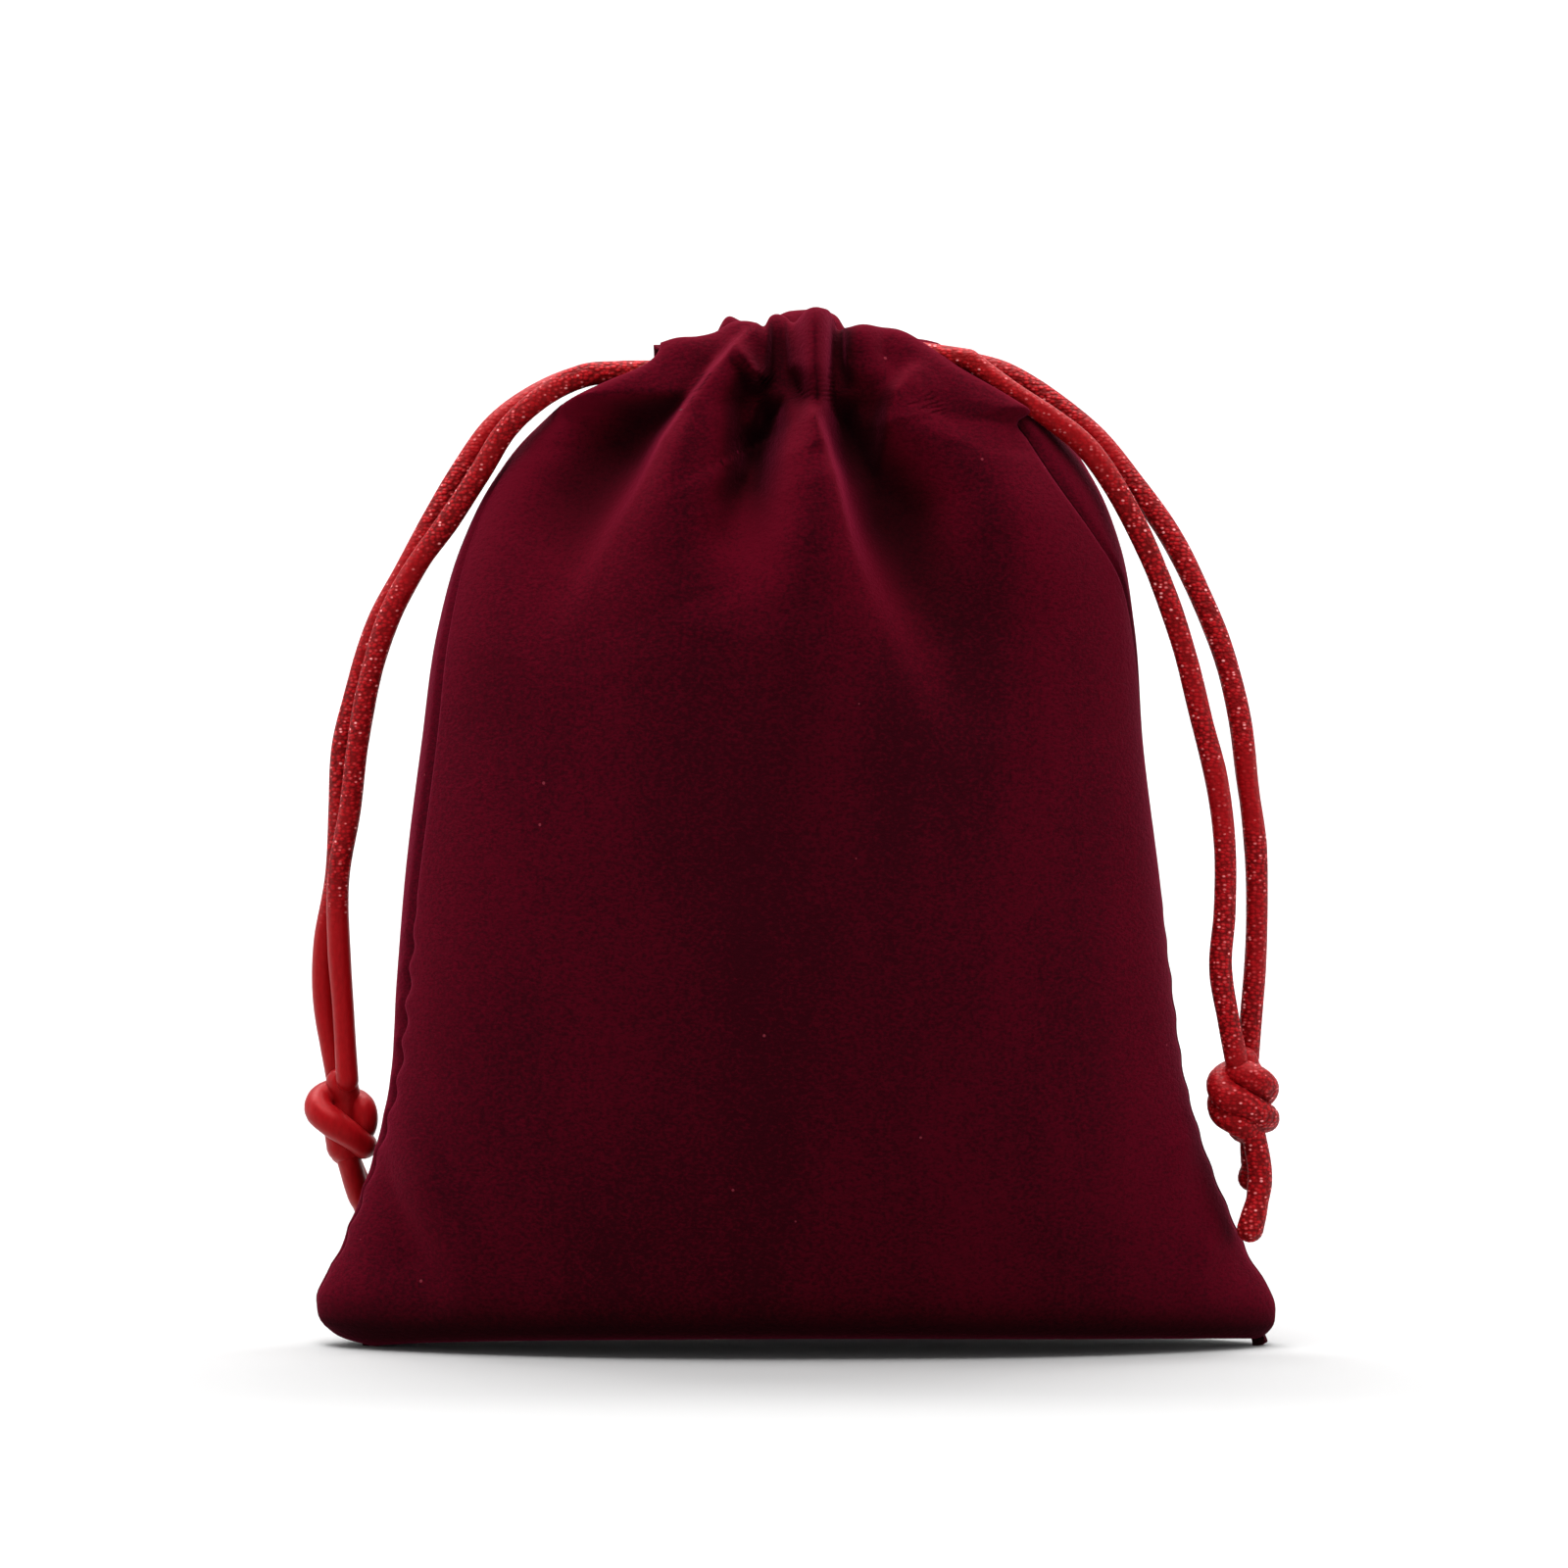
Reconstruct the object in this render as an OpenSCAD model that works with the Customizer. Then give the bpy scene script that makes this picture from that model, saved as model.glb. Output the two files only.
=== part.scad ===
// Drawstring gift pouch: two velvet panels sewn along the sides and the bottom, a gathered
// casing on each lip of the mouth, and two cords that leave the casings on opposite sides.
// X runs from the left side seam to the right one, Y from the front to the back and Z up.
// The origin is the middle of the base, on the surface that the pouch stands on.

/* [Pouch] */
// Width along the bottom edge, corner to corner
bag_w = 120; // [104:1:150]
// Width just above the two flared bottom corners
waist_w = 100; // [84:1:104]
// Width where the shoulders start to round in
shoulder_w = 89; // [70:1:100]
// Height of the closed pouch, up to the fold of the casings
bag_h = 130; // [108:1:160]
// Depth of the full pouch, front to back
bag_d = 52; // [40:1:64]
// Depth of the flat base at its middle
base_d = 28; // [22:1:36]
// Height of the flared bottom corners
ear_h = 30; // [20:1:40]
// Height where the pouch reaches its full depth
belly_z = 50; // [36:1:60]
// Height where the shoulders start to round in
shoulder_z = 78; // [62:1:90]
// Thickness of the velvet
cloth_t = 1.2; // [0.8:0.1:1.5]

/* [Seams] */
// Width of the seam allowance that is turned inside
allowance_w = 5; // [4:0.5:6]
// Thickness of one pressed ply of the seam allowance
allowance_t = 1; // [0.6:0.1:1.2]
// Thickness of the sewing thread
thread_d = 0.4; // [0.3:0.05:0.5]
// Length of one stitch
stitch_len = 3; // [2:0.5:3]
// Distance from one stitch to the next
stitch_pitch = 4; // [3.5:0.5:6]

/* [Mouth] */
// Width of the gathered mouth
mouth_w = 39; // [34:1:50]
// Depth of the neck over the outer faces of the two casings
mouth_d = 26; // [24:1:32]
// Height of the casings
casing_h = 12.2; // [12:0.1:15]
// Width of the cut-back inner ply of each casing
inner_ply_w = 26; // [20:1:27]
// Room across the channel for a cord when the lips are spread
channel_d = 5.4; // [5:0.1:7]

/* [Cords] */
// Diameter of the cord
cord_d = 2.8; // [2:0.1:3]
// Clearance between a cord and what it runs past
cord_gap = 0.3; // [0.2:0.05:0.4]
// How far a cord can be pulled out of the casings
pull_len = 8; // [4:1:10]
// Height of a finished knot
knot_h = 11; // [9:0.5:13]
// Diameter of a knot over its wraps
knot_d = 8.8; // [8.6:0.1:11]

/* [Hidden] */

VELVET = [0.3, 0.01, 0.09];
THREAD = [0.22, 0.01, 0.06];
CORD = [0.75, 0.06, 0.1];
LEFT = -1;
RIGHT = 1;
FRONT = -1;
BACK = 1;

// Running clearances
lip_gap = 0.3;
hair = 0.02;

// Heights of the neck
rim_h = 1.5;
casing_z = bag_h - casing_h;
neck_z = casing_z - lip_gap;
shoulder_rise = neck_z - rim_h - shoulder_z;
belly_top_z = belly_z + 10;
neck_w = mouth_w + 1;

// Below this height the corner edge stands straight, and above it the edge slopes in
ear_foot = 3;
ear_slope = (bag_w - waist_w) / 2 / (ear_h - ear_foot);
// Roundness of the shoulder line, and of the sections at the base, the body and the neck
shoulder_power = 2.5;
base_power = 1.2;
body_power = 1;
neck_power = 0.6;
swell_power = 0.8;

// Grid of a panel: columns across, levels up the straight part and round the shoulder
columns = 24;
low_levels = 10;
high_levels = 9;
level_power = 1.6;
levels = low_levels + high_levels + 1;
rows = levels + 1;
side_inset = 2 * cloth_t;
corner_lift = 0.7;

// Places in the casings
floor_t = cloth_t - 0.2;
fold_r = 1.1;
casing_d = channel_d + 2 * cloth_t;
cord_r = cord_d / 2;
cord_y = mouth_d / 2 - cloth_t - cord_gap - cord_r;
low_cord_z = casing_z + floor_t + cord_r + 4 * cord_gap;
high_cord_z = low_cord_z + cord_d + 1.4 * cord_gap;
lead_end_x = mouth_w / 2;
exit_x = lead_end_x + cord_gap + cord_r;
lead_start_x = lead_end_x - pull_len;
run_end_x = inner_ply_w / 2;

// Routes of the cords, from the exit: how far out, depth, how far down. The depth of
// the first point is cord_y.
left_front_route = [[5, -9.6, 0.5], [10, -8, 3], [14.5, -6, 7], [18, -4, 12.5],
    [22, -2.4, 18.5], [26, -1, 24], [29.5, 0, 30.5], [32, 0.6, 38.5], [33.5, 1.2, 46.5],
    [34.5, 1.8, 54.5], [36, 2.4, 63], [36, 3, 71.5], [35.5, 3.4, 79.5], [35, 3.4, 88.5]];
left_back_route = [[5.2, 9.8, 0.2], [11, 8.6, 2.5], [16.5, 7, 6.5], [20.5, 5.6, 12],
    [24, 4.6, 18], [27.5, 4, 24.5], [31, 3.8, 31], [33.5, 4, 38.5], [35.5, 4.4, 46.5],
    [36, 5, 54.5], [36.5, 5.6, 63], [38, 6.2, 71.5], [38, 6.6, 79.5], [36.5, 6.6, 88.5]];
right_front_route = [[5, -9.8, 2.5], [10, -8.8, 6.5], [14.5, -7.6, 11], [18, -6.4, 16.5],
    [21.5, -5.6, 23.5], [24.5, -5, 30.5], [27, -4.6, 38], [29, -4.4, 46], [31, -4.4, 54],
    [32, -4.4, 62], [32, -4.4, 70], [31.5, -4.4, 77], [32.5, -4.4, 83.5], [33.5, -4.4, 88.5]];
right_back_route = [[5.2, 9.6, 1.5], [11, 8.2, 5], [16.5, 6.4, 10], [21, 4.6, 16.5],
    [25.5, 3, 23.5], [29, 1.6, 30.5], [32, 0.6, 38], [34, -0.2, 46], [35, -0.6, 54],
    [36, -1, 62], [36.2, -1.2, 70], [36, -1.2, 77], [35.5, -1.3, 83.5], [35.2, -1.4, 88.5]];
knot_drop = 88.5;
left_knot_at = [35.8, 5];
right_knot_at = [34.4, -2.9];
// Tails, from the foot of the knot: how far out from the exit, depth, how far below the knot
left_front_tail_route = [[35, 4, 0], [34.6, 4.8, 3.5], [34.4, 6, 7]];
left_back_tail_route = [[35.2, 7.2, 0], [34.6, 8.2, 3.5], [34, 9.6, 7]];
right_front_tail_route = [[35.6, -4.2, 0], [36.4, -4.6, 3.5], [36, -5, 7], [35.4, -5.6, 11]];
right_back_tail_route = [[35.6, -1.2, 0], [36.6, -1.2, 3], [36.6, -1.4, 6]];
// Crossover in the side slit: how far out from the end of the run, share of cord_y
crossover_route = [[cord_gap, 1], [2.4, 0.95], [4.3, 0.72], [5.1, 0.38], [5.2, 0]];

// Shape of the pouch. drop is how far a surface lies below the outer shoulder line, and
// inset how far it lies inside the outer side line.
function straight_half_w(z) = z < ear_h
    ? min(bag_w / 2, waist_w / 2 + (ear_h - z) * ear_slope)
    : (waist_w + (shoulder_w - waist_w) * (z - ear_h) / (shoulder_z - ear_h)) / 2;
function shoulder_share(z, drop) = min(1, (z - shoulder_z) / (shoulder_rise - drop));
function rounded(share, power) = pow(1 - pow(share, power), 1 / power);
function shoulder_half_w(z, drop) =
    (neck_w + (shoulder_w - neck_w) * rounded(shoulder_share(z, drop), shoulder_power)) / 2;
function half_w(z, drop, inset) =
    (z < shoulder_z ? straight_half_w(z) : shoulder_half_w(z, drop)) - inset;
function belly_share(z, drop) =
    min(1, (z - belly_top_z) / (shoulder_z + shoulder_rise - drop - belly_top_z));
function half_d(z, drop) = -drop + (z < belly_z
    ? (base_d + (bag_d - base_d) * pow(sin(90 * z / belly_z), swell_power)) / 2
    : z < belly_top_z ? bag_d / 2
    : (mouth_d + (bag_d - mouth_d) * rounded(belly_share(z, drop), 2)) / 2);
function section_power(z) = z < ear_h ? base_power + (body_power - base_power) * z / ear_h
    : z < shoulder_z ? body_power
    : body_power + (neck_power - body_power) * shoulder_share(z, 0);
function level_z(k, drop) = k <= low_levels
    ? drop + (shoulder_z - drop) * pow(k / low_levels, level_power)
    : k < levels
    ? shoulder_z + (shoulder_rise - drop) * sin(90 * (k - low_levels) / high_levels)
    : neck_z;
function column_angle(c) = -90 + 180 * c / columns;

// Points of a panel: outer face, inner face, and the edge of the turned-in allowance.
// Row 0 is the bottom seam and row 1 is the edge of the base.
function outer_point(r, c) = let (z = r == 0 ? 0 : level_z(r - 1, 0), a = column_angle(c))
    r == 0 ? [(half_w(0, 0, 0) - side_inset) * sin(a), 0, 0]
    : [half_w(z, 0, 0) * sin(a), -half_d(z, 0) * pow(cos(a), section_power(z)), z];
function inner_point(r, c) = let (z = level_z(max(0, r - 1), cloth_t), a = column_angle(c))
    r == 0 ? [(half_w(z, cloth_t, side_inset) - side_inset) * sin(a), -allowance_t, z]
    : [half_w(z, cloth_t, side_inset) * sin(a),
       -allowance_t - (half_d(z, cloth_t) - allowance_t) * pow(cos(a), section_power(z)), z];
function edge_point(r, c, y) =
    let (z = level_z(max(0, r - 1), allowance_w) + (r == 1 ? corner_lift : 0))
    [half_w(z, allowance_w, allowance_w) * sin(column_angle(c)), y, z];

// Numbering of a panel's points: the two faces, then the two lines of the allowance's edge
face_points = (rows + 1) * (columns + 1);
border = [for (r = [rows:-1:0]) [r, 0], for (c = [1:columns]) [0, c],
    for (r = [1:rows]) [r, columns]];
function outer_index(rc) = rc[0] * (columns + 1) + rc[1];
function inner_index(rc) = face_points + outer_index(rc);
function edge_index(k, ply) = 2 * face_points + ply * len(border) + k;
function quad(a, b, c, d) = [[a, b, c], [a, c, d]];
// The diagonal of a panel's facets turns over at the middle, so that both halves match
function facet(c, p) = c < columns / 2 ? quad(p[0], p[1], p[2], p[3])
    : quad(p[1], p[2], p[3], p[0]);

panel_points = concat(
    [for (r = [0:rows], c = [0:columns]) outer_point(r, c)],
    [for (r = [0:rows], c = [0:columns]) inner_point(r, c)],
    [for (rc = border) edge_point(rc[0], rc[1], 0)],
    [for (rc = border) edge_point(rc[0], rc[1], -allowance_t)]);
last = len(border) - 1;
panel_faces = [
    for (r = [0:rows - 1], c = [0:columns - 1]) each concat(
        facet(c, [outer_index([r, c]), outer_index([r + 1, c]),
            outer_index([r + 1, c + 1]), outer_index([r, c + 1])]),
        facet(c, [inner_index([r, c]), inner_index([r, c + 1]),
            inner_index([r + 1, c + 1]), inner_index([r + 1, c])])),
    for (k = [0:last - 1]) each concat(
        quad(outer_index(border[k]), outer_index(border[k + 1]),
             edge_index(k + 1, 0), edge_index(k, 0)),
        quad(edge_index(k, 0), edge_index(k + 1, 0), edge_index(k + 1, 1), edge_index(k, 1)),
        quad(edge_index(k, 1), edge_index(k + 1, 1),
             inner_index(border[k + 1]), inner_index(border[k]))),
    for (c = [0:columns - 1]) each quad(outer_index([rows, c]), inner_index([rows, c]),
        inner_index([rows, c + 1]), outer_index([rows, c + 1])),
    each quad(outer_index(border[0]), edge_index(0, 0), edge_index(0, 1),
        inner_index(border[0])),
    each quad(outer_index(border[last]), inner_index(border[last]),
        edge_index(last, 1), edge_index(last, 0))];

// Sweep of a cord: one ring of eight points at each point of its route
cord_sides = 8;
function unit(v) = v / norm(v);
function ring(p, dir, r, up) = let (u = unit(cross(up, dir)), v = cross(dir, u))
    [for (i = [0:cord_sides - 1]) let (a = 360 * i / cord_sides) p + r * (cos(a) * u + sin(a) * v)];
function route_dir(route, i, first, final) = i == 0 ? first
    : i == len(route) - 1 ? final : unit(route[i + 1] - route[i - 1]);
function route_rings(route, first, final, up) =
    [for (i = [0:len(route) - 1]) ring(route[i], route_dir(route, i, first, final), cord_r, up)];
function dome_rings(p, dir, up) =
    [for (a = [60, 30]) ring(p - cord_r * sin(a) * dir, dir, cord_r * cos(a), up)];

module skin(rings) {
    n = cord_sides;
    top = len(rings) - 1;
    sides = [for (j = [0:top - 1], i = [0:n - 1]) each quad(j * n + i, (j + 1) * n + i,
        (j + 1) * n + (i + 1) % n, j * n + (i + 1) % n)];
    caps = [[for (i = [0:n - 1]) i], [for (i = [n - 1:-1:0]) top * n + i]];
    polyhedron(points = [for (r = rings) each r], faces = concat(sides, caps));
}

// Places on a cord, worked out from its exit
function placed(side, exit_z, route) =
    [for (p = route) [side * (exit_x + p[0]), p[1], exit_z - p[2]]];
function below_knot(route) = [for (p = route) [p[0], p[1], p[2] + knot_drop + knot_h]];

module strand(side, face, exit_z, route) {
    from_exit = concat([[0, face * cord_y, 0]], route);
    points = placed(side, exit_z, from_exit);
    out = [side, 0, 0];
    rings = route_rings(points, out, [0, 0, -1], [0, 1, 0]);
    color(CORD) skin(concat(dome_rings(points[0], out, [0, 1, 0]), rings));
}

module tail(side, exit_z, route) {
    points = placed(side, exit_z, below_knot(route));
    end_dir = unit(points[len(points) - 1] - points[len(points) - 2]);
    color(CORD) skin(route_rings(points, [0, 0, -1], end_dir, [0, 1, 0]));
}

module knot(side, exit_z, at) {
    wrap_r = cord_r + 0.1;
    wrap_z = knot_h / 4;
    wrap_x = knot_d / 2 - wrap_r;
    translate([side * (exit_x + at[0]), at[1], exit_z - knot_drop - knot_h / 2]) color(CORD)
        rotate_extrude($fn = 48) {
            translate([0, -knot_h / 2]) square([wrap_x + 0.5, knot_h]);
            for (s = [-1, 1]) translate([wrap_x, s * wrap_z]) circle(r = wrap_r, $fn = 32);
        }
}

module x_rod(x0, x1, y, z, d, fn) {
    translate([min(x0, x1), y, z]) rotate([0, 90, 0]) cylinder(h = abs(x1 - x0), d = d, $fn = fn);
}

// A run leaves the casing's channel through the slit on the side away from its exit
module run(side, face, z) {
    color(CORD) x_rod(side * (lead_start_x - cord_gap), -side * run_end_x, face * cord_y, z,
        cord_d, 32);
}

module lead(side, face, z) {
    color(CORD) x_rod(side * lead_start_x, side * lead_end_x, face * cord_y, z, cord_d, 32);
}

module crossover(side, z) {
    half = [for (p = crossover_route) [side * (run_end_x + p[0]), -p[1] * cord_y, z]];
    n = len(half);
    points = [for (i = [0:2 * n - 2]) i < n ? half[i]
        : [half[2 * n - 2 - i][0], -half[2 * n - 2 - i][1], z]];
    rings = route_rings(points, [side, 0, 0], [-side, 0, 0], [0, 0, 1]);
    color(CORD) skin(rings);
}

module front_panel() {
    color(VELVET) polyhedron(points = panel_points, faces = panel_faces);
}

module back_panel() {
    mirror([0, 1, 0]) front_panel();
}

// Section of a casing, with its outer face at 0 and its fold at the top
module casing_section() {
    square([casing_d, casing_h - fold_r]);
    translate([fold_r, 0]) square([casing_d - 2 * fold_r, casing_h]);
    for (y = [fold_r, casing_d - fold_r])
        translate([y, casing_h - fold_r]) circle(r = fold_r, $fn = 32);
}

module casing() {
    end_w = (mouth_w - inner_ply_w) / 2;
    channel_h = casing_h - floor_t - cloth_t;
    color(VELVET) translate([0, -mouth_d / 2, casing_z]) difference() {
        translate([-mouth_w / 2, 0, 0]) rotate([90, 0, 90])
            linear_extrude(mouth_w) casing_section();
        translate([-mouth_w / 2 - 1, cloth_t, floor_t]) cube([mouth_w + 2, channel_d, channel_h]);
        for (x = [-mouth_w / 2 - 1, inner_ply_w / 2]) translate([x, cloth_t, -1])
            cube([end_w + 1, casing_d, channel_h + floor_t + 1]);
    }
}

// One stitch between two points, flat on the cloth
module stitch(p, q) {
    d = q - p;
    translate(p) rotate([0, acos(d[2] / norm(d)), atan2(d[1], d[0])])
        cylinder(h = norm(d), d = thread_d, $fn = 6);
}

thread_y = allowance_t + thread_d / 2 + hair;
stitch_inset = (side_inset + allowance_w) / 2;

function seam_point(side, y, z) = [side * half_w(z, stitch_inset, stitch_inset), y, z];

module side_seam(side) {
    low_z = allowance_w + 1;
    low_count = floor((shoulder_z - low_z) / stitch_pitch);
    high_count = 11;
    high_step = 88 / high_count;
    share = stitch_len / stitch_pitch;
    high_rise = shoulder_rise - stitch_inset;
    color(THREAD) for (y = [-thread_y, thread_y]) {
        for (i = [0:low_count - 1]) let (z = low_z + i * stitch_pitch)
            stitch(seam_point(side, y, z), seam_point(side, y, z + stitch_len));
        for (i = [0:high_count - 1]) let (a = i * high_step, b = a + share * high_step)
            stitch(seam_point(side, y, shoulder_z + high_rise * sin(a)),
                   seam_point(side, y, shoulder_z + high_rise * sin(b)));
    }
}

module bottom_seam_thread() {
    half_run = half_w(stitch_inset, allowance_w, allowance_w) - 1;
    count = floor(2 * half_run / stitch_pitch);
    start_x = -count * stitch_pitch / 2 + (stitch_pitch - stitch_len) / 2;
    color(THREAD) for (y = [-thread_y, thread_y], i = [0:count - 1])
        let (x = start_x + i * stitch_pitch)
            x_rod(x, x + stitch_len, y, stitch_inset, thread_d, 6);
}

module casing_stitching() {
    count = floor(mouth_w / stitch_pitch);
    start_x = -count * stitch_pitch / 2 + (stitch_pitch - stitch_len) / 2;
    y = -mouth_d / 2 - thread_d / 2 - hair;
    color(THREAD) for (i = [0:count - 1]) let (x = start_x + i * stitch_pitch)
        x_rod(x, x + stitch_len, y, casing_z + floor_t / 2, thread_d, 6);
}

// Close rows of thread that hold the top of a side seam, where the slit for the cord begins
module bar_tack(side) {
    rows_of_thread = 4;
    x0 = neck_w / 2 - allowance_w + 0.3;
    x1 = neck_w / 2 - side_inset - 0.2;
    color(THREAD) for (y = [-thread_y, thread_y], i = [1:rows_of_thread])
        x_rod(side * x0, side * x1, y, neck_z - 2 * i * thread_d, thread_d, 6);
}

front_panel();
back_panel();
casing();  // front_casing
mirror([0, 1, 0]) casing();  // back_casing
side_seam(LEFT);  // left_side_seam_thread
side_seam(RIGHT);  // right_side_seam_thread
bottom_seam_thread();
casing_stitching();  // front_casing_stitching
mirror([0, 1, 0]) casing_stitching();  // back_casing_stitching
bar_tack(LEFT);  // left_bar_tack
bar_tack(RIGHT);  // right_bar_tack
run(LEFT, FRONT, low_cord_z);  // left_cord_front_run
run(LEFT, BACK, low_cord_z);  // left_cord_back_run
crossover(RIGHT, low_cord_z);  // left_cord_crossover
run(RIGHT, FRONT, high_cord_z);  // right_cord_front_run
run(RIGHT, BACK, high_cord_z);  // right_cord_back_run
crossover(LEFT, high_cord_z);  // right_cord_crossover
lead(LEFT, FRONT, low_cord_z);  // left_front_lead
lead(LEFT, BACK, low_cord_z);  // left_back_lead
lead(RIGHT, FRONT, high_cord_z);  // right_front_lead
lead(RIGHT, BACK, high_cord_z);  // right_back_lead
strand(LEFT, FRONT, low_cord_z, left_front_route);  // left_front_strand
strand(LEFT, BACK, low_cord_z, left_back_route);  // left_back_strand
strand(RIGHT, FRONT, high_cord_z, right_front_route);  // right_front_strand
strand(RIGHT, BACK, high_cord_z, right_back_route);  // right_back_strand
knot(LEFT, low_cord_z, left_knot_at);  // left_knot
knot(RIGHT, high_cord_z, right_knot_at);  // right_knot
tail(LEFT, low_cord_z, left_front_tail_route);  // left_front_tail
tail(LEFT, low_cord_z, left_back_tail_route);  // left_back_tail
tail(RIGHT, high_cord_z, right_front_tail_route);  // right_front_tail
tail(RIGHT, high_cord_z, right_back_tail_route);  // right_back_tail
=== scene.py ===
import math
import bpy
import numpy as np
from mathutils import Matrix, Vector


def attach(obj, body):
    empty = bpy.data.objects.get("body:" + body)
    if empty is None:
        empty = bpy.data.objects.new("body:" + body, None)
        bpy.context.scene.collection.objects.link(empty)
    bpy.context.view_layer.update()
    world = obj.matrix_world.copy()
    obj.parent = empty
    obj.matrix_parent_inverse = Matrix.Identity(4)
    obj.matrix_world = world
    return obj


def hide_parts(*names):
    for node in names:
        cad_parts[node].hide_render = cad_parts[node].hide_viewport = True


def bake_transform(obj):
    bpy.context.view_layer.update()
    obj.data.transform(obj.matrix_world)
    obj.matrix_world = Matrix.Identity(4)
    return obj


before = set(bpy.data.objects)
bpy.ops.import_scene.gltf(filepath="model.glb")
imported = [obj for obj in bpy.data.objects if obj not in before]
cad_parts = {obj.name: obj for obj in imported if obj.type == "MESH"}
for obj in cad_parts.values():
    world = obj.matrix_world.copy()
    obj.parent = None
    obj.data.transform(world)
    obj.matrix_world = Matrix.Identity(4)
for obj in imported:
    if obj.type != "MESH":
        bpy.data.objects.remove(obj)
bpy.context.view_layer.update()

MM = 0.001
FRONT, BACK = -1, 1
LEFT, RIGHT = -1, 1

# ---------------------------------------------------------------- camera, light and floor

VIEW_WIDTH = 0.1954          # metres across the picture at the pouch
VIEW_CENTRE = Vector((-0.0015, 0, 0.0702))
CAMERA_DISTANCE = 0.95
CAMERA_ELEVATION = math.radians(2.5)
SENSOR = 36
FLOOR_WHITE = 0.45
FLOOR_ROUGHNESS = 0.95


def make_camera():
    data = bpy.data.cameras.new("camera")
    data.sensor_width = SENSOR
    data.lens = SENSOR * CAMERA_DISTANCE / VIEW_WIDTH
    data.dof.use_dof = False
    camera = bpy.data.objects.new("camera", data)
    bpy.context.collection.objects.link(camera)
    back = Vector((0, -math.cos(CAMERA_ELEVATION), math.sin(CAMERA_ELEVATION)))
    camera.location = VIEW_CENTRE + CAMERA_DISTANCE * back
    camera.rotation_euler = (math.pi / 2 - CAMERA_ELEVATION, 0, 0)
    bpy.context.scene.camera = camera


def area_light(name, place, target, size, power):
    data = bpy.data.lights.new(name, "AREA")
    data.shape = "RECTANGLE"
    data.size, data.size_y = size
    data.energy = power
    light = bpy.data.objects.new(name, data)
    bpy.context.collection.objects.link(light)
    light.location = place
    light.rotation_euler = (Vector(target) - Vector(place)).to_track_quat("-Z", "Y").to_euler()


def make_light():
    world = bpy.data.worlds.new("studio")
    bpy.context.scene.world = world
    world.use_nodes = True
    background = world.node_tree.nodes["Background"]
    n = world.node_tree
    axes = n.nodes.new("ShaderNodeSeparateXYZ")
    n.links.new(n.nodes.new("ShaderNodeTexCoord").outputs["Generated"], axes.inputs["Vector"])
    height = n.nodes.new("ShaderNodeMapRange")
    for key, value in (("From Min", 0.05), ("From Max", 0.4), ("To Min", 0.8), ("To Max", 0.3)):
        height.inputs[key].default_value = value
    n.links.new(axes.outputs["Z"], height.inputs["Value"])
    n.links.new(height.outputs["Result"], background.inputs["Strength"])
    background.inputs["Color"].default_value = (1, 1, 1, 1)
    area_light("top", (-0.1, -0.26, 0.85), (0, 0, 0.06), (0.6, 0.45), 8)
    area_light("left_side", (-0.75, 0.05, 0.3), (0, 0, 0.08), (0.3, 0.6), 1.2)
    area_light("right_side", (0.75, 0.0, 0.35), (0, 0, 0.08), (0.3, 0.6), 1.6)
    area_light("backdrop", (0, 0.5, 1.2), (0, 1.15, 0.1), (1.8, 0.6), 46)
    bpy.context.scene.view_settings.view_transform = "Standard"


def make_floor():
    """A white sweep: a floor that curves up into a wall behind the pouch."""
    turn_from, turn_radius, wall_top, reach = 0.95, 0.4, 1.9, 4
    profile = [(-reach, 0), (turn_from, 0)]
    profile += [(turn_from + turn_radius * math.sin(a), turn_radius * (1 - math.cos(a)))
                for a in np.linspace(0.1, math.pi / 2, 14)]
    profile += [(turn_from + turn_radius, wall_top)]
    points = [(x, y, z) for y, z in profile for x in (-reach, reach)]
    faces = [(2 * i, 2 * i + 1, 2 * i + 3, 2 * i + 2) for i in range(len(profile) - 1)]
    white = plain_material("sweep_white", (FLOOR_WHITE,) * 3, FLOOR_ROUGHNESS)
    sweep = new_mesh("sweep", points, faces, white)


# ---------------------------------------------------------------- materials

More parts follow.
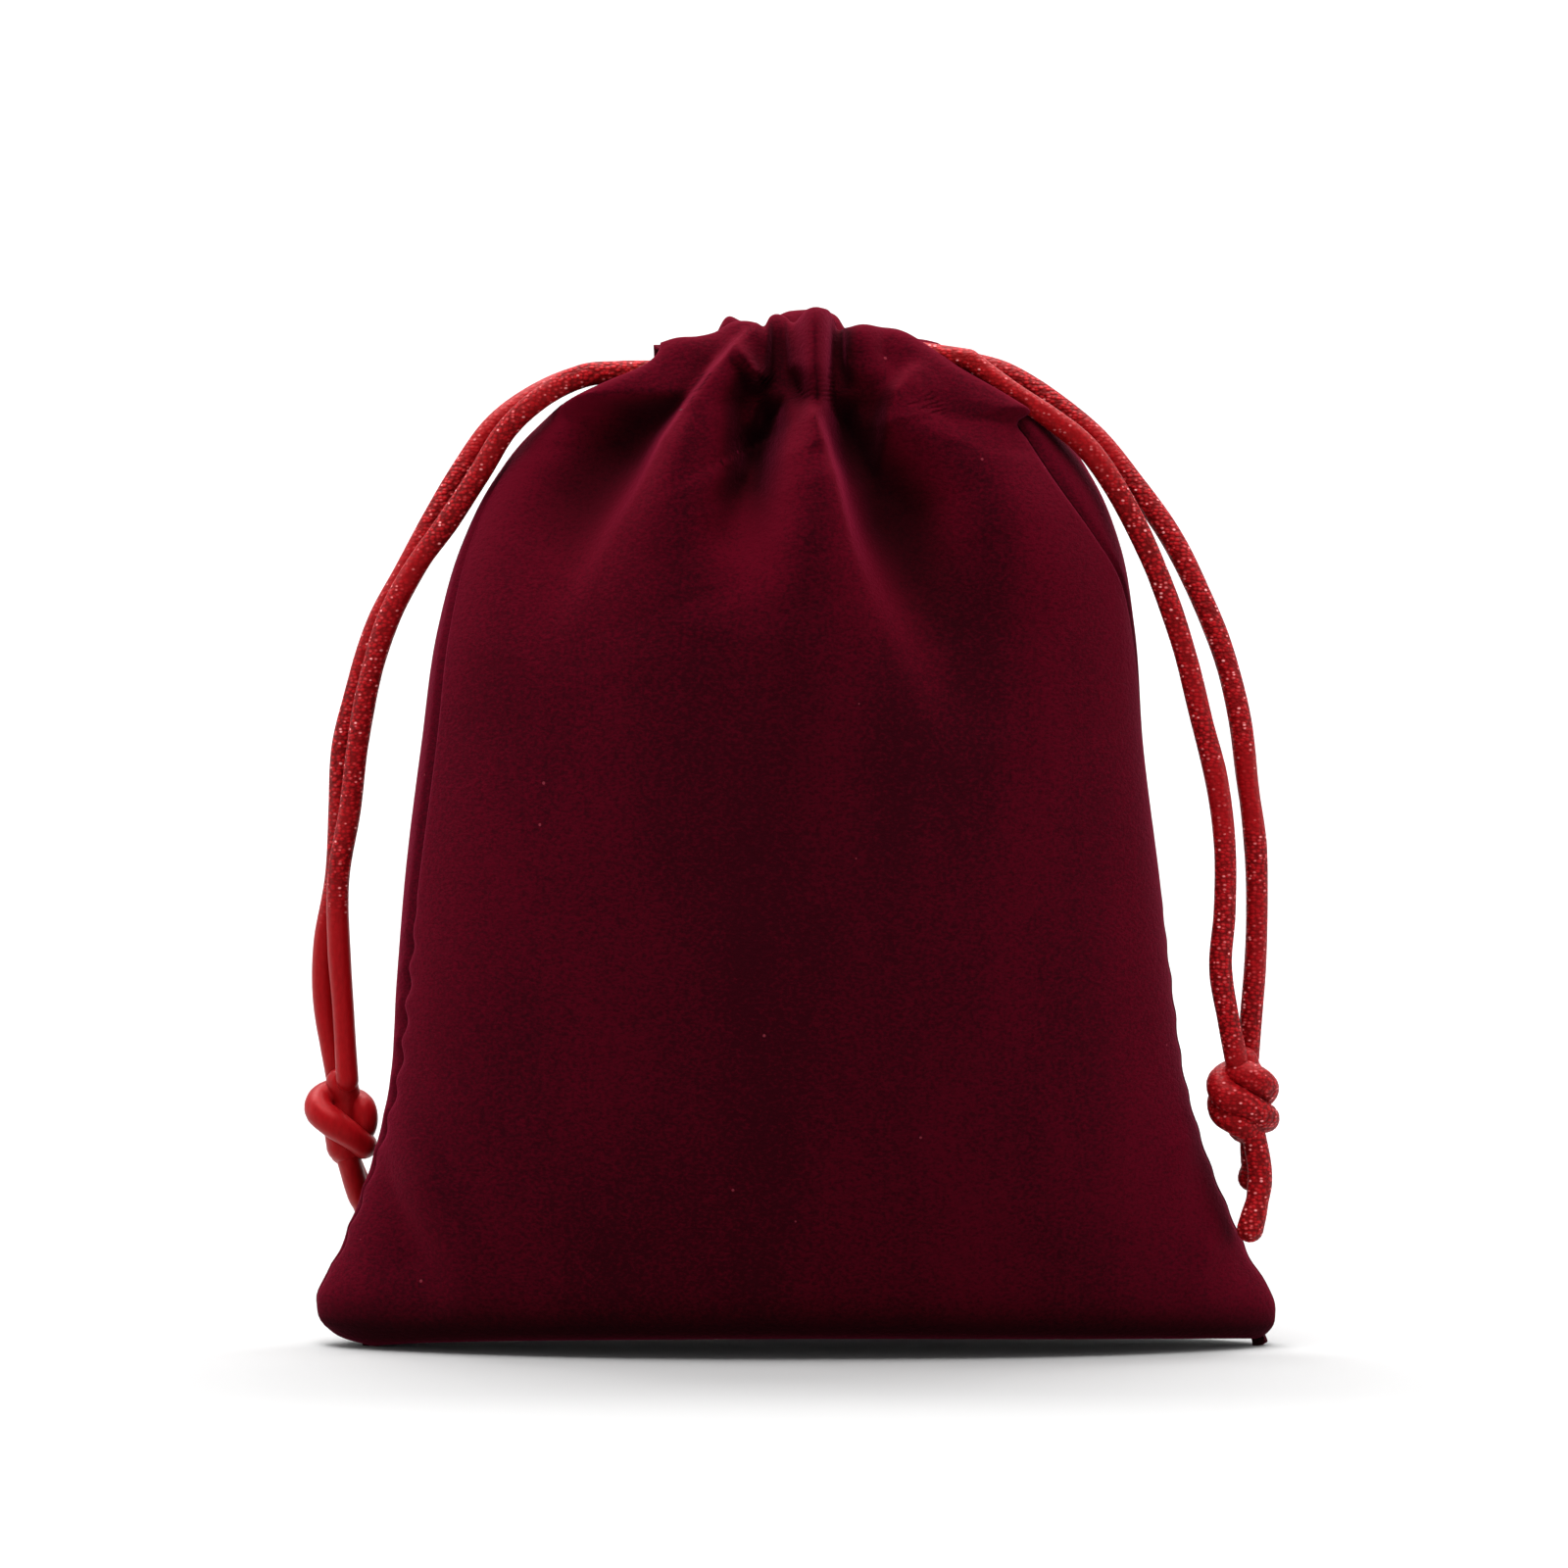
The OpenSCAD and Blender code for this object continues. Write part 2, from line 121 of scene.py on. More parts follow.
class Nodes:
    """A small helper that builds one material's node tree."""

    def __init__(self, name):
        self.material = bpy.data.materials.new(name)
        self.material.use_nodes = True
        self.tree = self.material.node_tree
        self.shader = self.tree.nodes["Principled BSDF"]

    def add(self, kind, settings=None, **inputs):
        node = self.tree.nodes.new(kind)
        for key, value in (settings or {}).items():
            setattr(node, key, value)
        for key, value in inputs.items():
            self.set(node, key.replace("_", " "), value)
        return node

    def set(self, node, key, value):
        socket = node.inputs[key]
        if isinstance(value, bpy.types.NodeSocket):
            self.tree.links.new(value, socket)
        else:
            socket.default_value = value

    def math(self, operation, a, b=0.0, clamp=False):
        node = self.add("ShaderNodeMath", {"operation": operation, "use_clamp": clamp})
        self.set(node, 0, a)
        self.set(node, 1, b)
        return node.outputs[0]

    def noise(self, vector, scale, detail=2.0, rough=0.5):
        node = self.add("ShaderNodeTexNoise", Scale=scale, Detail=detail, Roughness=rough)
        self.set(node, "Vector", vector)
        return node.outputs["Fac"]

    def ramp(self, value, low, high, start, end):
        node = self.add("ShaderNodeMapRange", {"interpolation_type": "SMOOTHSTEP"})
        for key, number in zip(("Value", "From Min", "From Max", "To Min", "To Max"),
                               (value, low, high, start, end)):
            self.set(node, key, number)
        return node.outputs["Result"]

    def mix(self, factor, a, b):
        node = self.add("ShaderNodeMix", {"data_type": "RGBA"})
        self.set(node, 0, factor)
        self.set(node, 6, a)
        self.set(node, 7, b)
        return node.outputs[2]

    def bump(self, height, strength, distance, normal=None):
        node = self.add("ShaderNodeBump", Strength=strength, Distance=distance)
        self.set(node, "Height", height)
        if normal is not None:
            self.set(node, "Normal", normal)
        return node.outputs["Normal"]

    def scaled(self, vector, scale):
        node = self.add("ShaderNodeVectorMath", {"operation": "MULTIPLY"})
        self.set(node, 0, vector)
        self.set(node, 1, scale)
        return node.outputs[0]


def plain_material(name, color, roughness):
    n = Nodes(name)
    n.shader.inputs["Base Color"].default_value = (*color, 1)
    n.shader.inputs["Roughness"].default_value = roughness
    n.shader.inputs["Specular IOR Level"].default_value = 0.2
    return n.material


def velvet_material(name, shaded_color, lit, sheen):
    n = Nodes(name)
    place = n.add("ShaderNodeTexCoord").outputs["Object"]
    pile = n.noise(n.scaled(place, (1, 1, 1.5)), 1900, 3.0, 0.65)
    weave = n.noise(n.scaled(place, (1, 1, 2.4)), 900, 2.0)
    nap = n.noise(n.scaled(place, (1, 1, 0.35)), 60, 3.0)
    shade = n.math("ADD", n.math("MULTIPLY", nap, 0.35), n.math("MULTIPLY", pile, 0.65))
    # painted sheen: the velvet's colour is made lighter where the cloth turns away from the view,
    # towards its edges
    painted_edge_sheen = n.add("ShaderNodeLayerWeight", Blend=0.5).outputs["Facing"]
    painted_edge_sheen = n.math("MULTIPLY", n.math("POWER", painted_edge_sheen, 0.5), 1.15)
    grain = n.ramp(shade, 0.36, 0.64, -0.46, 0.3)
    # painted top light: the colour is made lighter higher up the pouch, as if lit from above
    axes = n.add("ShaderNodeSeparateXYZ")
    n.set(axes, "Vector", place)
    painted_light_share = n.ramp(axes.outputs["Z"], 0.074, 0.108, 0.0, 0.36)
    # the colour runs from the shaded to the lit copy of the velvet, driven by the painted sheen,
    # the painted top light and a random grain of the pile
    light = n.math("ADD", n.math("ADD", painted_edge_sheen, painted_light_share), grain)
    color = n.mix(n.math("MINIMUM", light, 0.95, clamp=True), (*shaded_color, 1), (*lit, 1))
    # painted shade: an occlusion node darkens the colour nearly to black in creases and hollows
    crease = n.add("ShaderNodeAmbientOcclusion", {"samples": 8}, Distance=0.011)
    open_to_light = n.ramp(crease.outputs["AO"], 0.4, 0.94, 0.1, 1.0)
    color = n.mix(open_to_light, (0.004, 0.0001, 0.0006, 1), color)
    # painted shade: the colour is darkened where the relief sinks deep into the hollows of the
    # folds
    hollow = n.add("ShaderNodeAttribute", {"attribute_name": "relief"}).outputs["Fac"]
    unshaded_by_hollows = n.ramp(hollow, -6.0, -0.6, 0.25, 1.0)
    color = n.mix(unshaded_by_hollows, (0.006, 0.0001, 0.0008, 1), color)
    lint = n.add("ShaderNodeTexVoronoi", {"feature": "F1"}, Scale=260.0)
    n.set(lint, "Vector", place)
    speck = n.math("LESS_THAN", lint.outputs["Distance"], 0.055)
    chance = n.add("ShaderNodeSeparateColor")
    n.set(chance, "Color", lint.outputs["Color"])
    rare = n.math("GREATER_THAN", chance.outputs[0], 0.84)
    speck = n.math("MULTIPLY", n.math("MULTIPLY", speck, rare), 0.5)
    n.set(n.shader, "Base Color", n.mix(speck, color, (0.30, 0.04, 0.06, 1)))
    n.shader.inputs["Roughness"].default_value = 0.95
    n.shader.inputs["Specular IOR Level"].default_value = 0.04
    n.shader.inputs["Sheen Weight"].default_value = sheen
    n.shader.inputs["Sheen Roughness"].default_value = 0.36
    n.shader.inputs["Sheen Tint"].default_value = (0.5, 0.02, 0.085, 1)
    fine = n.bump(pile, 0.35, 0.0003)
    n.set(n.shader, "Normal", n.bump(weave, 0.25, 0.0004, fine))
    return n.material


def thread_material():
    n = Nodes("thread")
    place = n.add("ShaderNodeTexCoord").outputs["Object"]
    twist = n.noise(place, 4000, 1.0)
    n.set(n.shader, "Base Color", n.mix(twist, (0.012, 0.0003, 0.002, 1), (0.03, 0.0006, 0.004, 1)))
    n.shader.inputs["Roughness"].default_value = 0.55
    n.set(n.shader, "Normal", n.bump(twist, 0.5, 0.0001))
    return n.material


def cord_material():
    n = Nodes("cord_satin")
    place = n.add("ShaderNodeTexCoord").outputs["Object"]
    axes = n.add("ShaderNodeSeparateXYZ")
    n.set(axes, "Vector", place)
    # the lower end of the left cord is plain satin, the rest is knitted with glitter
    high = n.ramp(axes.outputs["Z"], 0.050, 0.062, 0.0, 1.0)
    on_right = n.math("GREATER_THAN", axes.outputs["X"], 0.0)
    where = n.math("MAXIMUM", high, on_right)
    patches = n.ramp(n.noise(n.scaled(place, (1, 1, 1.2)), 55, 1.0), 0.36, 0.56, 0.3, 1.0)
    where = n.math("MULTIPLY", where, patches)
    stitch = n.add("ShaderNodeTexVoronoi", {"feature": "F1"}, Scale=1500.0, Randomness=0.75)
    n.set(stitch, "Vector", n.scaled(place, (1.0, 1.0, 1.5)))
    knit = n.math("SUBTRACT", 1.0, stitch.outputs["Distance"])
    satin = n.noise(n.scaled(place, (1, 1, 0.4)), 2400, 2.0)
    base = n.mix(satin, (0.20, 0.0015, 0.003, 1), (0.36, 0.004, 0.007, 1))
    # painted shade: the gaps between the knit loops are dark and the loops light
    painted_light_share = n.ramp(knit, 0.35, 0.75, 0.0, 1.0)
    knitted = n.mix(painted_light_share, (0.13, 0.001, 0.002, 1), (0.42, 0.005, 0.009, 1))
    color = n.mix(where, base, knitted)
    # glitter: the cord's glitter thread is real, and its sparkle is painted into the colour as pale
    # bright glints
    chance = n.add("ShaderNodeSeparateColor")
    n.set(chance, "Color", stitch.outputs["Color"])
    lucky = n.ramp(chance.outputs[0], 0.5, 0.75, 0.0, 1.0)
    dot = n.ramp(stitch.outputs["Distance"], 0.2, 0.38, 1.0, 0.0)
    glitter_glint = n.math("MULTIPLY", n.math("MULTIPLY", lucky, dot), where)
    glint_brightness = n.ramp(chance.outputs[1], 0.35, 1.0, 0.1, 1.0)
    glitter_glint = n.math("MULTIPLY", glitter_glint, glint_brightness)
    n.set(n.shader, "Base Color", n.mix(glitter_glint, color, (1.0, 0.42, 0.42, 1)))
    n.set(n.shader, "Roughness", n.ramp(where, 0.0, 1.0, 0.42, 0.6))
    n.shader.inputs["Specular IOR Level"].default_value = 0.4
    n.shader.inputs["Specular Tint"].default_value = (1, 0.15, 0.15, 1)
    n.shader.inputs["Sheen Weight"].default_value = 0.08
    n.shader.inputs["Sheen Roughness"].default_value = 0.4
    n.shader.inputs["Sheen Tint"].default_value = (0.9, 0.08, 0.1, 1)
    rough = n.bump(n.math("MULTIPLY", knit, where), 0.6, 0.0004)
    n.set(n.shader, "Normal", n.bump(satin, 0.15, 0.0002, rough))
    return n.material


# a shaded and a lit copy of the velvet colour, for the painted light and shade
VELVET = velvet_material("velvet_outside", (0.025, 0.0004, 0.0030), (0.086, 0.0006, 0.0068),
                         sheen=0.34)
THREAD = thread_material()
CORD = cord_material()


# ---------------------------------------------------------------- meshes

DOME_STEPS = (20, 40, 60, 80)     # degrees up the round end of a tube
CURVE_STEPS = 24                  # points on a curve between two given ones


def new_mesh(name, points, faces, material):
    mesh = bpy.data.meshes.new(name)
    mesh.from_pydata([tuple(p) for p in points], [], faces)
    mesh.materials.append(material)
    mesh.shade_smooth()
    mesh.validate()
    piece = bpy.data.objects.new(name, mesh)
    bpy.context.collection.objects.link(piece)
    return piece


def through(points, step):
    """Points every step along a smooth curve through the given points."""
    p = np.array(points, float)
    ends = np.vstack([2 * p[0] - p[1], p, 2 * p[-1] - p[-2]])
    dense = []
    for i in range(len(p) - 1):
        a, b, c, d = ends[i:i + 4]
        for t in np.linspace(0, 1, CURVE_STEPS, endpoint=False):
            dense.append(0.5 * (2 * b + (c - a) * t + (2 * a - 5 * b + 4 * c - d) * t ** 2
                                + (3 * b - a - 3 * c + d) * t ** 3))
    dense = np.array(dense + [p[-1]])
    lengths = np.r_[0, np.cumsum(np.linalg.norm(np.diff(dense, axis=0), axis=1))]
    count = max(2, int(round(lengths[-1] / step)) + 1)
    at = np.linspace(0, lengths[-1], count)
    return np.array([np.interp(at, lengths, dense[:, k]) for k in range(3)]).T


def tube(name, path, radius, material, sides=20):
    """A closed tube along a path, with round ends. The radius may vary along it."""
    path = np.array(path, float)
    n = len(path)
    radii = np.full(n, radius, float) if np.isscalar(radius) else np.array(radius, float)
    tangent = np.gradient(path, axis=0)
    tangent /= np.linalg.norm(tangent, axis=1)[:, None]
    side = np.cross(tangent[0], (0.1, 1, 0.05))
    rings = []
    for i in range(n):
        side = side - tangent[i] * np.dot(side, tangent[i])
        side /= np.linalg.norm(side)
        up = np.cross(tangent[i], side)
        rings.append((path[i], tangent[i], side.copy(), up, radii[i]))
    # each ring is moved along by a share of its radius, and made a share as wide
    table = []
    for a in DOME_STEPS[::-1]:
        table.append((rings[0], -math.sin(math.radians(a)), math.cos(math.radians(a))))
    table += [(ring, 0.0, 1.0) for ring in rings]
    for a in DOME_STEPS:
        table.append((rings[-1], math.sin(math.radians(a)), math.cos(math.radians(a))))
    points, faces = [], []
    for (centre, along, s, u, r), shift, share in table:
        for k in range(sides):
            angle = 2 * math.pi * k / sides
            points.append(centre + along * shift * r
                          + r * share * (math.cos(angle) * s + math.sin(angle) * u))
    for j in range(len(table) - 1):
        for k in range(sides):
            m = (k + 1) % sides
            faces.append((j * sides + k, j * sides + m, (j + 1) * sides + m, (j + 1) * sides + k))
    faces.append(tuple(range(sides - 1, -1, -1)))
    top = (len(table) - 1) * sides
    faces.append(tuple(top + k for k in range(sides)))
    return new_mesh(name, points, faces, material)


# ---------------------------------------------------------------- cords

CORD_D = 2.8
CORD_R = CORD_D / 2
CORD_Y = 10.1                 # depth of the cords in the casings, from the middle
EXIT_X = 21.2                 # where the cords leave, from the middle
LEAD_START_X = 9.5
EXIT_Z = {LEFT: 121.4, RIGHT: 124.62}
KNOT_DROP = 88.5              # how far below the exit the knots begin
KNOT_H = 11
KNOT_WRAP_R = 1.75
KNOT_CORE_R = 2.1
KNOT_SEED = 40
CORE_SEED = 60
TAIL_SEED = 90
STRAND_SEED = 20
LEAD_MIDDLE_X = 15.5

# The routes of the CAD's strands, with the right ones lowered a little by their exits.
# From the exit: how far out, depth, how far down, in millimetres
ROUTES = {
    (LEFT, FRONT): [(0, -10.1, 0), (5, -9.6, 0.5), (10, -8, 3), (14.5, -6, 7), (18, -4, 12.5),
                    (22, -2.4, 18.5), (26, -1, 24), (29.5, 0, 30.5), (32, 0.6, 38.5),
                    (33.5, 1.2, 46.5), (34.5, 1.8, 54.5), (36, 2.4, 63), (36, 3, 71.5),
                    (35.5, 3.4, 79.5), (35, 3.4, 88.5)],
    (LEFT, BACK): [(0, 10.1, 0), (5.2, 9.8, 0.2), (11, 8.6, 2.5), (16.5, 7, 6.5), (20.5, 5.6, 12),
                   (24, 4.6, 18), (27.5, 4, 24.5), (31, 3.8, 31), (33.5, 4, 38.5),
                   (35.5, 4.4, 46.5), (36, 5, 54.5), (36.5, 5.6, 63), (38, 6.2, 71.5),
                   (38, 6.6, 79.5), (36.5, 6.6, 88.5)],
    (RIGHT, FRONT): [(0, -10.1, 1.8), (3, -10, 4.1), (6, -9.7, 6.2), (10, -8.8, 8.8),
                     (14.5, -7.6, 12.4), (18, -6.4, 17.1), (21.5, -5.6, 23.5),
                     (24.5, -5, 30.5), (27, -4.6, 38), (29, -4.4, 46), (31, -4.4, 54),
                     (32, -4.4, 62), (32, -4.4, 70), (31.5, -4.4, 77), (32.5, -4.4, 83.5),
                     (33.5, -4.4, 88.5)],
    (RIGHT, BACK): [(0, 10.1, 1.8), (5.2, 9.6, 3.3), (11, 8.2, 6.8), (16.5, 6.4, 11.3),
                    (21, 4.6, 17), (25.5, 3, 23.5), (29, 1.6, 30.5), (32, 0.6, 38), (34, -0.2, 46),
                    (35, -0.6, 54), (36, -1, 62), (36.2, -1.2, 70), (36, -1.2, 77),
                    (35.5, -1.3, 83.5), (35.2, -1.4, 88.5)],
}
# The tails, from the foot of the knot, in the same numbers
TAIL_ROUTES = {
    (LEFT, FRONT): [(35, 5, 0), (33.8, 7, 3.5), (32.4, 9.6, 7)],
    (LEFT, BACK): [(35.2, 7.8, 0), (33.6, 10, 3.5), (31.8, 12.6, 7)],
    (RIGHT, FRONT): [(35.4, -4.2, -2), (36.4, -4.6, 2.5), (36.2, -5, 6), (35.2, -5.6, 10)],
    (RIGHT, BACK): [(35.6, -1.2, 0), (35.8, -1.2, 2), (35.6, -1.4, 4)],
}
# The hidden runs in the casings: across, depth, how far below the exit
RUNS = {
    LEFT: [(8, 10.1, 0), (0, 9.6, 0), (-12, 9.6, 0.6)],
    RIGHT: [(8, 10.1, 0.4), (0, 9.6, 0), (-6, 8.8, 0.6), (-12, 7.6, 1.6)],
}
KNOT_AT = {LEFT: (35.8, 5), RIGHT: (34.4, -2.9)}        # middle: how far out, depth
# Wraps of the knots about their middle, in millimetres: across, depth, up
KNOT_WRAPS = {
    LEFT: [[(-0.5, 1.0, 5.2), (-2.8, 0.2, 4.0), (-3.1, -1.9, 2.2), (-1.2, -3.1, 0.4),
            (1.2, -2.9, -1.6), (3.0, -1.2, -3.4), (2.7, 1.4, -3.6), (0.4, 2.9, -2.0),
            (-1.6, 2.8, 0.4), (-0.6, 2.9, 2.8), (1.6, 1.8, 3.4), (3.0, -0.2, 2.4),
            (3.1, -0.4, -0.2), (1.6, 0.9, -2.6), (0.2, 0.6, -4.6)]],
    RIGHT: [[(0.8, 1.0, 5.0), (-1.6, 0.9, 4.6), (-3.1, -0.9, 3.4), (-2.6, -2.6, 1.6),
             (-0.2, -3.2, 0.2), (2.3, -2.3, -1.4), (3.2, 0.2, -2.6), (1.6, 2.6, -2.2),
             (-1.0, 2.9, -0.6), (-2.9, 1.2, 0.4), (-2.8, -1.2, -1.6), (-0.8, -2.7, -3.0),
             (1.0, -1.6, -4.4)],
            [(-0.6, -1.2, 5.2), (1.6, -2.2, 4.0), (3.1, -0.8, 2.6), (2.8, 1.4, 1.2),
             (0.6, 2.6, 0.6)]],
}
KNOT_TIGHT = np.array((0.88, 0.86, 0.76))


def on_cord(side, point, down=0.0):
    """A point of a route, in metres."""
    return np.array((side * (EXIT_X + point[0]), point[1], EXIT_Z[side] - down - point[2])) * MM


def wobble(count, seed, share):
    """A soft random change of width along a cord."""
    rng = np.random.default_rng(seed)
    marks = np.linspace(0, 1, max(4, count // 9))
    return 1 + share * np.interp(np.linspace(0, 1, count), marks, rng.uniform(-1, 1, len(marks)))


def make_cord(side):
    """One cord: its knot and tails, then the strand, lead and run of each end, and its crossing."""
    name = "left" if side == LEFT else "right"
    body = name + "_cord"
    knot_z = EXIT_Z[side] - KNOT_DROP - KNOT_H / 2
    centre = np.array((side * (EXIT_X + KNOT_AT[side][0]), KNOT_AT[side][1], knot_z)) * MM
    on_knot = []
    for i, wrap in enumerate(KNOT_WRAPS[side]):
        path = through([centre + np.array(p) * KNOT_TIGHT * MM for p in wrap], 0.35 * MM)
        widths = KNOT_WRAP_R * MM * wobble(len(path), KNOT_SEED + i, 0.1)
        knot = tube(f"{name}_knot_wrap_{i + 1}", path, widths, CORD)
        on_knot.append(knot)
    core = [centre + np.array(p) * MM for p in
            ((0, 0, 5.0), (0.5, 0.3, 2.5), (-0.2, 0, -0.5), (0.3, 0, -2.8))]
    path = through(core, 0.4 * MM)
    widths = KNOT_CORE_R * MM * wobble(len(path), CORE_SEED, 0.1)
    on_knot.append(tube(name + "_knot_core", path, widths, CORD))
    for face in (FRONT, BACK):
        word = "front" if face == FRONT else "back"
        path = through([on_cord(side, p, KNOT_DROP + KNOT_H) + (0, 0, MM if i == 0 else 0)
                        for i, p in enumerate(TAIL_ROUTES[side, face])], 0.35 * MM)
        along = np.linspace(0, 1, len(path))
        spread = 1.06 + 0.2 * along ** 4 - 0.1 * np.exp(-((along - 0.72) / 0.09) ** 2)
        spread *= wobble(len(path), TAIL_SEED + face, 0.05)
        end = tube(f"{name}_{word}_tail_end", path, CORD_R * MM * spread, CORD)
        on_knot.append(end)
    for piece in on_knot:
        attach(piece, body)
    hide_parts(name + "_knot")
    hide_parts(name + "_front_tail")
    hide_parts(name + "_back_tail")
    for face in (FRONT, BACK):
        word = "front" if face == FRONT else "back"
        path = through([on_cord(side, p) for p in ROUTES[side, face]], 0.55 * MM)
        widths = CORD_R * MM * wobble(len(path), 7 * side + face + STRAND_SEED, 0.05)
        widths[0] = CORD_R * MM
        strand = tube(f"{name}_{word}_cord_strand", path, widths, CORD)
        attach(strand, body)
        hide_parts(f"{name}_{word}_strand")
        end_drop = ROUTES[side, face][0][2]
        stops = ((LEAD_START_X, 0.2), (LEAD_MIDDLE_X, 0.55), (EXIT_X, 1))
        inside = [(side * x * MM, face * CORD_Y * MM, (EXIT_Z[side] - share * end_drop) * MM)
                  for x, share in stops]
        inside = through(inside, 0.8 * MM)
        lead = tube(f"{name}_{word}_cord_lead", inside, CORD_R * MM, CORD)
        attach(lead, name + "_lead")
        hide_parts(f"{name}_{word}_lead")
        run_path = through([(side * x * MM, face * y * MM, (EXIT_Z[side] - drop) * MM)
                            for x, y, drop in RUNS[side]], 1.5 * MM)
        run = tube(f"{name}_{word}_cord_run", run_path, CORD_R * MM, CORD, sides=14)
        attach(run, word + "_lip")
        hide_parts(f"{name}_cord_{word}_run")
    far_y, far_drop = RUNS[side][-1][1:]
    bend = [(12.0, 1), (14.0, 0.95), (15.6, 0.72), (16.2, 0.38), (16.3, 0)]
    half = [(-side * x * MM, -y * far_y * MM, (EXIT_Z[side] - far_drop) * MM) for x, y in bend]
    whole = half + [(x, -y, z) for x, y, z in half[-2::-1]]
    cross = tube(name + "_cord_crossing", through(whole, 0.6 * MM), CORD_R * MM, CORD)
    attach(cross, "pouch")
    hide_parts(name + "_cord_crossover")


# ---------------------------------------------------------------- the cloth

COLUMNS = 260                 # points across a panel
ROW_STEP = 0.55               # and the distance between them upwards
CLOTH_T = 0.9
LIP_TOP = 128.0
CASING_END_X = 19.4
SLIT_Y = 7.2                  # half the opening between the casings, at their ends
INNER_SLIT_Y = 6.4
STITCH_Z = 116.5
STITCH_SUNK = 1.05            # depth of the stitches under the middle of the cloth
STITCH_R = 0.17
STITCH_LONG = 7               # columns that a stitch is long, and columns from one to the next
STITCH_EVERY = 12
# Silhouette of the full pouch: height and distance from the middle, left and right
LEFT_EDGE = [(0, 53.5), (0.8, 56.4), (2.2, 58.7), (5.4, 60), (12, 57.2), (24, 52.8),
             (32, 50.9), (46, 49.8), (60, 48.6), (75, 46.7), (90, 44.5), (100, 41.6),
             (108, 37.6), (114, 32.8), (118.4, 27.2), (120.6, 22.5), (121.6, 20), (131, 19.4)]
RIGHT_EDGE = [(0, 56.5), (1.2, 58.6), (2.2, 59.6), (4, 60), (12, 56.4), (24, 51.4),
              (32, 49.0), (46, 46.9), (60, 45.2), (75, 43.3), (90, 42.1), (100, 40.3),
              (108, 37.0), (113, 33.5), (116.5, 29.2), (119, 25.2), (121, 21.7), (122, 20.0),
              (131, 19.4)]
# Middle line of a panel from the bottom seam up, over the fold and down inside: depth, height
PROFILE = [(0, 2.4), (6, 2.1), (11.5, 2.1), (15, 2.7), (17.2, 4.4), (18.8, 7.6), (20.4, 12.6),
           (22.4, 20), (24.6, 32),
           (26, 46), (26.2, 58), (25.6, 70), (24.6, 82), (22.8, 94), (20.6, 103), (18.4, 110),
           (16.4, 115), (14.8, 119), (13.8, 123), (13.0, 126), (11.9, 127.7), (10.4, 128.2),
           (8.8, 127.4), (7.6, 125), (6.8, 121.5), (7.0, 117.5)]
# Top of the folded edges: distance from the middle, height
TOP_LINE = {
    FRONT: [(-19.5, 124.4), (-16, 125.4), (-13, 125.6), (-11, 126.0), (-7.6, 127.4),
            (-5, 127.2), (-4.1, 126.8), (-3.3, 127.9), (-1.4, 128.0), (-0.5, 127.2),
            (1.3, 128.8), (2.9, 129.0), (4.5, 128.0), (5.1, 126.6), (6.3, 126.6), (8.1, 127.0),
            (10.7, 126.7), (13, 126.4), (15.4, 125.4), (17.5, 124.0), (19.5, 122.4)],
    BACK: [(-19.5, 123.2), (-18.5, 124.2), (-16, 124.4), (-12, 124.7), (-10.5, 126.4),
           (-8.2, 128.4), (-6.9, 127.8), (-5.6, 127.5), (-4.1, 126.6), (-3, 127.8),
           (-1.5, 128.8), (0.9, 129.2), (3.2, 129.1), (5.2, 128.3), (6.3, 126.9), (9.8, 126.8),
           (11.7, 125.4), (15, 125.6), (17.3, 125.4), (19.5, 124.8)],
}


def smooth(edge0, edge1, value):
    t = np.clip((value - edge0) / (edge1 - edge0), 0, 1)
    return t * t * (3 - 2 * t)


def curve_at(points, at):
    """A smooth curve through points, read at places along its first number."""
    p = np.array(points, float)
    x, y = p[:, 0], p[:, 1]
    slope = np.gradient(y, x)
    i = np.clip(np.searchsorted(x, at, side="right") - 1, 0, len(x) - 2)
    h = x[i + 1] - x[i]
    t = np.clip((at - x[i]) / h, 0, 1)
    return ((2 * t ** 3 - 3 * t ** 2 + 1) * y[i] + (t ** 3 - 2 * t ** 2 + t) * h * slope[i]
            + (-2 * t ** 3 + 3 * t ** 2) * y[i + 1] + (t ** 3 - t ** 2) * h * slope[i + 1])


def near_path(x, z, path):
    """Signed distance to a path of (x, z, ...), and its other numbers at the nearest place."""
    p = np.array(path, float)
    best = np.full(x.shape, 1e9)
    signed = np.zeros(x.shape)
    extras = [np.zeros(x.shape) for _ in range(p.shape[1] - 2)]
    for a, b in zip(p[:-1], p[1:]):
        d = b[:2] - a[:2]
        t = np.clip(((x - a[0]) * d[0] + (z - a[1]) * d[1]) / (d @ d), 0, 1)
        dx, dz = x - a[0] - t * d[0], z - a[1] - t * d[1]
        far = np.hypot(dx, dz)
        closer = far < best
        best = np.where(closer, far, best)
        turn = d[0] * dz - d[1] * dx
        signed = np.where(closer, np.where(turn > 0, 1, -1) * far, signed)
        for k, extra in enumerate(extras):
            extras[k] = np.where(closer, a[2 + k] + t * (b[2 + k] - a[2 + k]), extra)
    return signed, extras


def ridge(x, z, path, left=1.0, right=1.0):
    """A fold along a path of (x, z, height, half width), listed downwards. left and right
    scale the width of its two flanks: a small number is a steep one."""
    signed, (height, width) = near_path(x, z, path)
    flank = np.where(signed > 0, right, left) * width
    return height * np.exp(-(signed / flank) ** 2)


